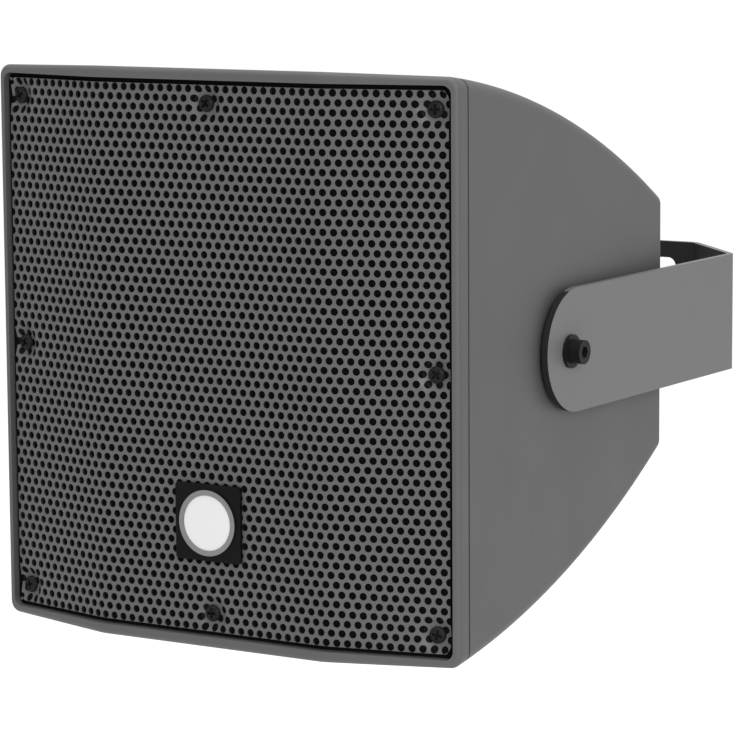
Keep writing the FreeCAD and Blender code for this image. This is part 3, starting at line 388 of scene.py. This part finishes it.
def build_grille_tree():
    """Geometry tree: staggered holes filled into a sheet, thickened, dimpled and folded."""
    tree, given, result = begin_tree("perforated_sheet", {
        "Float": ("Pitch", "Hole Radius", "Width", "Height", "Corner Radius", "Sheet", "Fold Start", "Fold Radius",
                  "Fold Angle", "Front", "Dimple Radius", "Dimple Floor", "Dimple Depth"),
        "Int": ("Columns", "Rows", "Hole Sides"), "Material": ("Material", "Wall Material")})

    # Staggered lattice of the holes, without those past the sheet's edges or under a screw
    row_step = reckon(tree, "MULTIPLY", given["Pitch"], row_share)
    across_steps = reckon(tree, "SUBTRACT", given["Columns"], 1.0)
    upward_steps = reckon(tree, "SUBTRACT", given["Rows"], 1.0)
    lattice = add_node(tree, "GeometryNodeMeshGrid", Vertices_X=given["Columns"], Vertices_Y=given["Rows"],
                       Size_X=reckon(tree, "MULTIPLY", across_steps, given["Pitch"]),
                       Size_Y=reckon(tree, "MULTIPLY", upward_steps, row_step))
    spot = position(tree)
    row = reckon(tree, "ROUND", reckon(tree, "ADD", reckon(tree, "DIVIDE", spot.outputs["Y"], row_step), 0.25))
    odd = reckon(tree, "FLOORED_MODULO", row, 2.0)
    shift = reckon(tree, "MULTIPLY", reckon(tree, "SUBTRACT", odd, 0.5),
                   reckon(tree, "MULTIPLY", given["Pitch"], 0.5))
    staggered = add_node(tree, "GeometryNodeSetPosition", Geometry=lattice.outputs["Mesh"],
                         Offset=add_node(tree, "ShaderNodeCombineXYZ", X=shift).outputs[0])
    place = position(tree)
    half_width = reckon(tree, "MULTIPLY", given["Width"], 0.5)
    half_height = reckon(tree, "MULTIPLY", given["Height"], 0.5)
    room = reckon(tree, "MULTIPLY", given["Hole Radius"], -0.75)
    too_wide = reckon(tree, "GREATER_THAN", reckon(tree, "ABSOLUTE", place.outputs["X"]),
                      reckon(tree, "SUBTRACT", half_width, room))
    too_high = reckon(tree, "GREATER_THAN", reckon(tree, "ABSOLUTE", place.outputs["Y"]),
                      reckon(tree, "SUBTRACT", half_height, room))
    near_screw = add_node(tree, "GeometryNodeProximity", target_element="POINTS", Geometry=given["Geometry"])
    under_screw = reckon(tree, "LESS_THAN", near_screw.outputs["Distance"],
                         reckon(tree, "MULTIPLY", given["Hole Radius"], 1.6))
    kept = add_node(tree, "GeometryNodeDeleteGeometry", Geometry=staggered.outputs["Geometry"],
                    Selection=reckon(tree, "MAXIMUM", reckon(tree, "MAXIMUM", too_wide, too_high), under_screw))

    # Flat sheet: its rounded outline filled round the holes, then given its thickness
    rim = add_node(tree, "GeometryNodeCurvePrimitiveCircle", Resolution=given["Hole Sides"],
                   Radius=given["Hole Radius"])
    rims = add_node(tree, "GeometryNodeInstanceOnPoints", Points=kept.outputs["Geometry"],
                    Instance=rim.outputs["Curve"])
    punched = add_node(tree, "GeometryNodeRealizeInstances", Geometry=rims.outputs["Instances"])
    outline = add_node(tree, "GeometryNodeCurvePrimitiveQuadrilateral", Width=given["Width"],
                       Height=given["Height"])
    rounded = add_node(tree, "GeometryNodeFilletCurve", mode="POLY", Curve=outline.outputs["Curve"],
                       Radius=given["Corner Radius"], Count=5)
    curves = tree.nodes.new("GeometryNodeJoinGeometry")
    tree.links.new(punched.outputs["Geometry"], curves.inputs[0])
    tree.links.new(rounded.outputs["Curve"], curves.inputs[0])
    filled = add_node(tree, "GeometryNodeFillCurve", mode="TRIANGLES", Curve=curves.outputs[0])
    middle = position(tree)
    beside = reckon(tree, "GREATER_THAN", reckon(tree, "ABSOLUTE", middle.outputs["X"]), half_width)
    above = reckon(tree, "GREATER_THAN", reckon(tree, "ABSOLUTE", middle.outputs["Y"]), half_height)
    flat = add_node(tree, "GeometryNodeDeleteGeometry", domain="FACE", Geometry=filled.outputs["Mesh"],
                    Selection=reckon(tree, "MAXIMUM", beside, above)).outputs["Geometry"]
    thick = add_node(tree, "GeometryNodeExtrudeMesh", Mesh=flat, Offset_Scale=given["Sheet"], Individual=False)
    turned = add_node(tree, "GeometryNodeFlipFaces", Mesh=flat)
    both = tree.nodes.new("GeometryNodeJoinGeometry")
    tree.links.new(thick.outputs["Mesh"], both.inputs[0])
    tree.links.new(turned.outputs["Mesh"], both.inputs[0])
    closed = add_node(tree, "GeometryNodeMergeByDistance", Geometry=both.outputs[0], Distance=sheet_weld)

    # Dimples round the screws, then the two folds
    at = position(tree)
    on_sheet = add_node(tree, "ShaderNodeCombineXYZ", X=at.outputs["X"], Y=at.outputs["Y"])
    to_screw = add_node(tree, "GeometryNodeProximity", target_element="POINTS", Geometry=given["Geometry"],
                        Sample_Position=on_sheet.outputs[0])
    slope = add_node(tree, "ShaderNodeMapRange", interpolation_type="SMOOTHSTEP",
                     Value=to_screw.outputs["Distance"], From_Min=given["Dimple Floor"],
                     From_Max=given["Dimple Radius"], To_Min=given["Dimple Depth"], To_Max=0.0)
    inward = reckon(tree, "ADD", reckon(tree, "SUBTRACT", given["Sheet"], at.outputs["Z"]),
                    slope.outputs["Result"])
    reach = reckon(tree, "ABSOLUTE", at.outputs["X"])
    hand = reckon(tree, "SIGN", at.outputs["X"])
    past_start = reckon(tree, "MAXIMUM", reckon(tree, "SUBTRACT", reach, given["Fold Start"]), 0.0)
    turn = reckon(tree, "MINIMUM", reckon(tree, "DIVIDE", past_start, given["Fold Radius"]), given["Fold Angle"])
    beyond = reckon(tree, "SUBTRACT", past_start, reckon(tree, "MULTIPLY", turn, given["Fold Radius"]))
    sine = reckon(tree, "SINE", turn)
    cosine = reckon(tree, "COSINE", turn)
    arm = reckon(tree, "SUBTRACT", given["Fold Radius"], inward)
    sideways = reckon(tree, "ADD", reckon(tree, "MULTIPLY", arm, sine), reckon(tree, "MULTIPLY", beyond, cosine))
    across = reckon(tree, "ADD", reckon(tree, "MINIMUM", reach, given["Fold Start"]), sideways)
    drop = reckon(tree, "SUBTRACT", given["Fold Radius"], reckon(tree, "MULTIPLY", arm, cosine))
    back = reckon(tree, "ADD", drop, reckon(tree, "MULTIPLY", beyond, sine))
    folded = add_node(tree, "ShaderNodeCombineXYZ", X=reckon(tree, "MULTIPLY", across, hand),
                      Y=reckon(tree, "ADD", given["Front"], back), Z=at.outputs["Y"])
    bent = add_node(tree, "GeometryNodeSetPosition", Geometry=closed.outputs["Geometry"],
                    Position=folded.outputs[0])
    realized = add_node(tree, "GeometryNodeRealizeInstances",
                        Geometry=creased(tree, bent.outputs["Geometry"], sheet_crease))
    coated = add_node(tree, "GeometryNodeSetMaterial", Geometry=realized.outputs["Geometry"],
                      Material=given["Material"])
    walled = add_node(tree, "GeometryNodeSetMaterial", Geometry=coated.outputs["Geometry"],
                      Selection=thick.outputs["Side"], Material=given["Wall Material"])
    feed(tree, result, walled.outputs["Geometry"])
    return tree


def grown(name, seed, tree, values, body):
    """Runs a geometry tree on a seed object and keeps the result as a plain mesh that rides a body."""
    modifier = seed.modifiers.new("grow", "NODES")
    modifier.node_group = tree
    for item in tree.interface.items_tree:
        if item.in_out == "INPUT" and item.name in values:
            modifier[item.identifier] = values[item.name]
    bpy.context.view_layer.update()
    depsgraph = bpy.context.evaluated_depsgraph_get()
    mesh = bpy.data.meshes.new_from_object(seed.evaluated_get(depsgraph), depsgraph=depsgraph)
    seed.modifiers.remove(modifier)
    bpy.data.objects.remove(seed)
    mesh.name = name
    piece = bpy.data.objects.new(name, mesh)
    bpy.context.scene.collection.objects.link(piece)
    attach(piece, body)
    return piece


grille_coat = skin_material("grille_coat", (0.05, 0.05, 0.051), 0.5, 0.0008, 0.00006)
# Painted shade: the holes' walls are near-black so that the holes read dark.
hole_wall_shade = skin_material("hole_wall_shade", painted_shade_black, 0.6, 0.0006, 0.00004, dust_and_top_light=0.0, shine=0.1)
columns = int(2 * flat_half / pitch) + 3
rows = int(sheet_height / (pitch * row_share)) + 3
grille_seed = point_mesh("grille_seed", [(x, z, 0.0) for x, z in screw_spots])
grille = grown("grille_sheet", grille_seed, build_grille_tree(), {
    "Pitch": pitch, "Hole Radius": hole_radius, "Width": 2 * flat_half, "Height": sheet_height,
    "Corner Radius": corner_radius, "Sheet": sheet, "Fold Start": fold_start, "Fold Radius": fold_radius,
    "Fold Angle": fold_angle, "Front": grille_low.y, "Dimple Radius": dimple_radius,
    "Dimple Floor": dimple_floor, "Dimple Depth": dimple_depth, "Columns": columns, "Rows": rows,
    "Hole Sides": hole_sides,
    "Material": grille_coat, "Wall Material": hole_wall_shade}, "cabinet")
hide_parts("grille")

# Foam: black open-cell sheet behind the grille that keeps water and dust off the cone.
# It is cut to the recess and lies between the grille and the frame's ledge.
black_foam = skin_material("black_foam", (0.003, 0.003, 0.003), 0.95, 0.0018, 0.0006, mottle=0.6, dust_and_top_light=0.0,
                           shine=0.02)
dress(black_foam, "grille_foam")

# Screws: pan heads with a cross recess in the grille's dimples, round the back panel and on the transformer strap.
# They are cold-headed steel with black zinc, plain zinc on the strap; two bars cut the cross, and every screw
# stops at its own turn.
screw_crease = math.radians(40)
turn_step = 0.9
panel_inset = 5.5 * mm
strap_head = 2.6 * mm


def turned_blank(name, head_radius, head_height, shank_radius, length, sides=20):
    """Closed screw blank about +Z: its head stands over the origin and its shank runs below it."""
    steps = [(shank_radius * 0.25, -length), (shank_radius, shank_radius - length), (shank_radius, 0.0),
             (head_radius, 0.0), (head_radius, head_height * 0.5), (head_radius * 0.9, head_height * 0.78),
             (head_radius * 0.62, head_height)]
    points = []
    for radius, height in steps:
        for side in range(sides):
            turn = 2 * math.pi * side / sides
            points.append((radius * math.cos(turn), radius * math.sin(turn), height))
    faces = [tuple(reversed(range(sides))), tuple(range(len(points) - sides, len(points)))]
    for ring in range(len(steps) - 1):
        for side in range(sides):
            after = (side + 1) % sides
            faces.append((ring * sides + side, ring * sides + after, (ring + 1) * sides + after,
                          (ring + 1) * sides + side))
    mesh = bpy.data.meshes.new(name)
    mesh.from_pydata(points, [], faces)
    return bpy.data.objects.new(name, mesh)


def build_screw_tree():
    """Geometry tree: cuts a cross into a screw blank and sets one on each seed point by its turn and spin."""
    tree, given, result = begin_tree("cross_screws", {
        "Object": ("Blank",), "Float": ("Head Height", "Cross Length", "Cross Width", "Cross Depth"),
        "Material": ("Material",)})
    blank = add_node(tree, "GeometryNodeObjectInfo", Object=given["Blank"])
    bar = add_node(tree, "GeometryNodeMeshCube",
                   Size=add_node(tree, "ShaderNodeCombineXYZ", X=given["Cross Length"], Y=given["Cross Width"],
                                 Z=reckon(tree, "MULTIPLY", given["Cross Depth"], 2.0)).outputs[0])
    head_top = add_node(tree, "ShaderNodeCombineXYZ", Z=given["Head Height"]).outputs[0]
    first = add_node(tree, "GeometryNodeTransform", Geometry=bar.outputs["Mesh"], Translation=head_top)
    second = add_node(tree, "GeometryNodeTransform", Geometry=bar.outputs["Mesh"], Translation=head_top,
                      Rotation=(0.0, 0.0, math.pi / 2))
    cross = tree.nodes.new("GeometryNodeMeshBoolean")
    cross.operation = "DIFFERENCE"
    feed(tree, cross.inputs["Mesh 1"], blank.outputs["Geometry"])
    feed(tree, cross.inputs["Mesh 2"], first.outputs["Geometry"])
    feed(tree, cross.inputs["Mesh 2"], second.outputs["Geometry"])
    lean = add_node(tree, "GeometryNodeInputNamedAttribute", data_type="FLOAT", Name="turn").outputs["Attribute"]
    spin = add_node(tree, "GeometryNodeInputNamedAttribute", data_type="FLOAT", Name="spin").outputs["Attribute"]
    upright = add_node(tree, "FunctionNodeEulerToRotation",
                       Euler=add_node(tree, "ShaderNodeCombineXYZ", X=math.pi / 2, Z=lean).outputs[0])
    spun = add_node(tree, "FunctionNodeEulerToRotation",
                    Euler=add_node(tree, "ShaderNodeCombineXYZ", Z=spin).outputs[0])
    stance = add_node(tree, "FunctionNodeRotateRotation", rotation_space="LOCAL",
                      Rotation=upright.outputs[0], Rotate_By=spun.outputs[0])
    placed = add_node(tree, "GeometryNodeInstanceOnPoints", Points=given["Geometry"],
                      Instance=cross.outputs["Mesh"], Rotation=stance.outputs[0])
    real = add_node(tree, "GeometryNodeRealizeInstances", Geometry=placed.outputs["Instances"])
    coated = add_node(tree, "GeometryNodeSetMaterial", Material=given["Material"],
                      Geometry=creased(tree, real.outputs["Geometry"], screw_crease))
    feed(tree, result, coated.outputs["Geometry"])
    return tree


cross_screws = build_screw_tree()


def set_screws(name, spots, head_radius, head_height, shank_radius, length, material, node):
    """Screws in place of a CAD node; spots are (place of the head's seat, turn about Z)."""
    seed = point_mesh(name + "_seed", [spot for spot, turn in spots])
    turns = seed.data.attributes.new("turn", "FLOAT", "POINT")
    spins = seed.data.attributes.new("spin", "FLOAT", "POINT")
    for index, (spot, turn) in enumerate(spots):
        turns.data[index].value = turn
        spins.data[index].value = turn_step * index
    screws = grown(name, seed, cross_screws, {
        "Blank": turned_blank(name + "_blank", head_radius, head_height, shank_radius, length),
        "Head Height": head_height, "Cross Length": head_radius * 1.2, "Cross Width": head_radius * 0.3,
        "Cross Depth": head_height * 0.65, "Material": material}, "cabinet")
    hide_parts(node)


grille_seats = []
for hand, lift in ((0, -1), (0, 1), (-1, -1), (-1, 0), (-1, 1), (1, -1), (1, 0), (1, 1)):
    lean = hand * fold_angle
    depth = (screw_x - fold_at) * math.tan(fold_angle) if hand else 0.0
    outer = Vector((hand * screw_x, grille_low.y + depth, lift * screw_up))
    grille_seats.append((outer + dimple_depth * Vector((-math.sin(lean), math.cos(lean), 0.0)), lean))
set_screws("dimple_screws", grille_seats, 3.8 * mm, 2.0 * mm, 2.0 * mm, 12.0 * mm, black_zinc, "grille_screws")
panel_low, panel_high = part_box("connection_panel")
panel_x = panel_high.x - panel_inset
panel_up = panel_high.z - panel_inset
panel_seats = [(Vector((hand * panel_x, panel_high.y, lift * panel_up)), math.pi)
               for hand in (-1, 1) for lift in (-1, 1)]
set_screws("back_screws", panel_seats, 3.0 * mm, 1.8 * mm, 1.6 * mm, 9.0 * mm, black_zinc, "panel_screws")
strap_low, strap_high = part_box("transformer_screws")
strap_seats = [(Vector((x, panel_high.y, (strap_low.z + strap_high.z) / 2)), math.pi)
               for x in (strap_low.x + strap_head, strap_high.x - strap_head)]
set_screws("strap_screws", strap_seats, strap_head, 1.6 * mm, 1.5 * mm, 6.0 * mm, plated_steel,
           "transformer_screws")

# Gland and knob: the gland's cap is black nylon, moulded with grip ribs and screwed down by hand over its seal.
# The selector's knob is a fluted moulding on a flatted shaft; its pointer groove is filled with pale paint.
rib_spot = 5.0 * mm
rib_sunk = 0.1 * mm
pointer_size = Vector((1.1, 0.55, 8.6)) * mm
pointer_sunk = 0.52 * mm
pointer_start = 0.6 * mm


def build_rib_tree():
    """Geometry tree: a ring of long grip ribs round each seed point, along Y."""
    tree, given, result = begin_tree("grip_ribs", {
        "Float": ("Ring Radius", "Rib Radius", "Rib Length"), "Int": ("Count",), "Material": ("Material",)})
    bead = add_node(tree, "GeometryNodeMeshUVSphere", Segments=8, Rings=6, Radius=given["Rib Radius"])
    stretch = reckon(tree, "DIVIDE", given["Rib Length"], reckon(tree, "MULTIPLY", given["Rib Radius"], 2.0))
    rib = add_node(tree, "GeometryNodeTransform", Geometry=bead.outputs["Mesh"],
                   Scale=add_node(tree, "ShaderNodeCombineXYZ", X=1.0, Y=1.0, Z=stretch).outputs[0])
    circle = add_node(tree, "GeometryNodeMeshCircle", Vertices=given["Count"], Radius=given["Ring Radius"])
    ring = add_node(tree, "GeometryNodeInstanceOnPoints", Points=circle.outputs["Mesh"],
                    Instance=rib.outputs["Geometry"])
    laid = add_node(tree, "GeometryNodeTransform", Geometry=ring.outputs["Instances"],
                    Rotation=(math.pi / 2, 0.0, 0.0))
    placed = add_node(tree, "GeometryNodeInstanceOnPoints", Points=given["Geometry"],
                      Instance=laid.outputs["Geometry"])
    real = add_node(tree, "GeometryNodeRealizeInstances", Geometry=placed.outputs["Instances"])
    smooth = add_node(tree, "GeometryNodeSetShadeSmooth", Geometry=real.outputs["Geometry"])
    coated = add_node(tree, "GeometryNodeSetMaterial", Geometry=smooth.outputs["Geometry"],
                      Material=given["Material"])
    feed(tree, result, coated.outputs["Geometry"])
    return tree


cap_low, cap_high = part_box("gland_cap")
cap_radius = (cap_high.x - cap_low.x) / 2
cap_spot = ((cap_low.x + cap_high.x) / 2, cap_low.y + rib_spot, (cap_low.z + cap_high.z) / 2)
grown("gland_ribs", point_mesh("gland_seed", [cap_spot]), build_rib_tree(), {
    "Ring Radius": cap_radius - rib_sunk, "Rib Radius": 0.6 * mm, "Rib Length": 9.0 * mm, "Count": 20,
    "Material": black_nylon}, "cabinet")

knob_low, knob_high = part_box("selector_knob")
pointer_middle = Vector(((knob_low.x + knob_high.x) / 2, knob_high.y - pointer_sunk,
                         (knob_low.z + knob_high.z) / 2 + pointer_start + pointer_size.z / 2))
pointer_form = bmesh.new()
bmesh.ops.create_cube(pointer_form, matrix=Matrix.LocRotScale(pointer_middle, None, pointer_size))
bmesh.ops.bevel(pointer_form, geom=pointer_form.edges[:], offset=0.2 * mm, segments=2, affect="EDGES")
pointer = keep_form(pointer_form, "pointer_paint", pale_nylon)
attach(pointer, "knob")

# Badge: gloss black plate on the grille with a satin metal ring round a plain pale disc.
# The three are glued on one another and carry no figure.
badge_gloss = skin_material("badge_gloss", (0.003, 0.003, 0.0032), 0.3, 0.0009, 0.00001, dust_and_top_light=0.0, shine=0.06)
badge_metal = skin_material("badge_metal", (0.2, 0.2, 0.2), 0.3, 0.0006, 0.00001, metallic=1.0, dust_and_top_light=0.0)
badge_pale = skin_material("badge_pale", (0.43, 0.43, 0.43), 0.35, 0.0006, 0.00001, mottle=0.03, dust_and_top_light=0.0)
dress(badge_gloss, "badge_plate")
dress(badge_metal, "badge_ring")
dress(badge_pale, "badge_disc")

# Stage: a pale floor well under the hung speaker, a bright room and soft lamps.
# The floor is a plain matt sheet; one lamp stands to the right of the camera and one hangs overhead.
floor_drop = 0.75
floor_reach = 40.0
lamp_aim = (0.0, -0.25, 0.0)
floor_corners = [(x * floor_reach, y * floor_reach, -floor_drop) for x, y in ((-1, -1), (1, -1), (1, 1), (-1, 1))]
floor_mesh = bpy.data.meshes.new("floor")
floor_mesh.from_pydata(floor_corners, [], [(0, 1, 2, 3)])
floor = bpy.data.objects.new("floor", floor_mesh)
bpy.context.scene.collection.objects.link(floor)
floor_paint = bpy.data.materials.new("floor_paint")
floor_paint.use_nodes = True
floor_shader = floor_paint.node_tree.nodes["Principled BSDF"]
floor_shader.inputs["Base Color"].default_value = (0.95, 0.95, 0.95, 1.0)
floor_shader.inputs["Roughness"].default_value = 0.9
floor_mesh.materials.append(floor_paint)

world = bpy.data.worlds.new("room")
bpy.context.scene.world = world
world.use_nodes = True
room_light = world.node_tree.nodes["Background"]
room_light.inputs["Color"].default_value = (1.0, 1.0, 1.0, 1.0)
room_light.inputs["Strength"].default_value = 1.08


def lamp(name, spot, size, power):
    """Square soft light at a spot, turned to the speaker."""
    light = bpy.data.lights.new(name, "AREA")
    light.shape = "SQUARE"
    light.size = size
    light.energy = power
    thing = bpy.data.objects.new(name, light)
    bpy.context.scene.collection.objects.link(thing)
    turn = (Vector(lamp_aim) - Vector(spot)).to_track_quat("-Z", "Y")
    thing.matrix_world = Matrix.Translation(spot) @ turn.to_matrix().to_4x4()


lamp("key", (2.0, -2.05, 0.9), 1.2, 60.0)
lamp("top", (0.0, -0.5, 2.2), 1.6, 45.0)

bpy.context.scene.view_settings.view_transform = "Standard"

# Camera: at the photograph's place, found by fitting the grille's corners and holes.
# It looks at the grille from its right and a little above; the offsets set the picture's frame.
yaw = math.radians(31.943)
pitch_down = math.radians(8.037)
roll = math.radians(-0.38)
focal_pixels = 3494.39
frame_pixels = 736
offset_right = 71.43 * mm
offset_up = -1.61 * mm
distance = 1558.26 * mm
target = Vector((0.0, grille_low.y, -1.4 * mm))
flat_share = math.cos(pitch_down)
back = Vector((math.sin(yaw) * flat_share, -math.cos(yaw) * flat_share, math.sin(pitch_down)))
level = Vector((math.cos(yaw), math.sin(yaw), 0.0))
upright = back.cross(level)
right = math.cos(roll) * level + math.sin(roll) * upright
up = -math.sin(roll) * level + math.cos(roll) * upright
camera_data = bpy.data.cameras.new("camera")
camera_data.sensor_width = 36.0
camera_data.lens = focal_pixels * camera_data.sensor_width / frame_pixels
camera = bpy.data.objects.new("camera", camera_data)
bpy.context.scene.collection.objects.link(camera)
turned = Matrix((right, up, back)).transposed().to_4x4()
stand = target + offset_right * right + offset_up * up + distance * back
camera.matrix_world = Matrix.Translation(stand) @ turned
bpy.context.scene.camera = camera
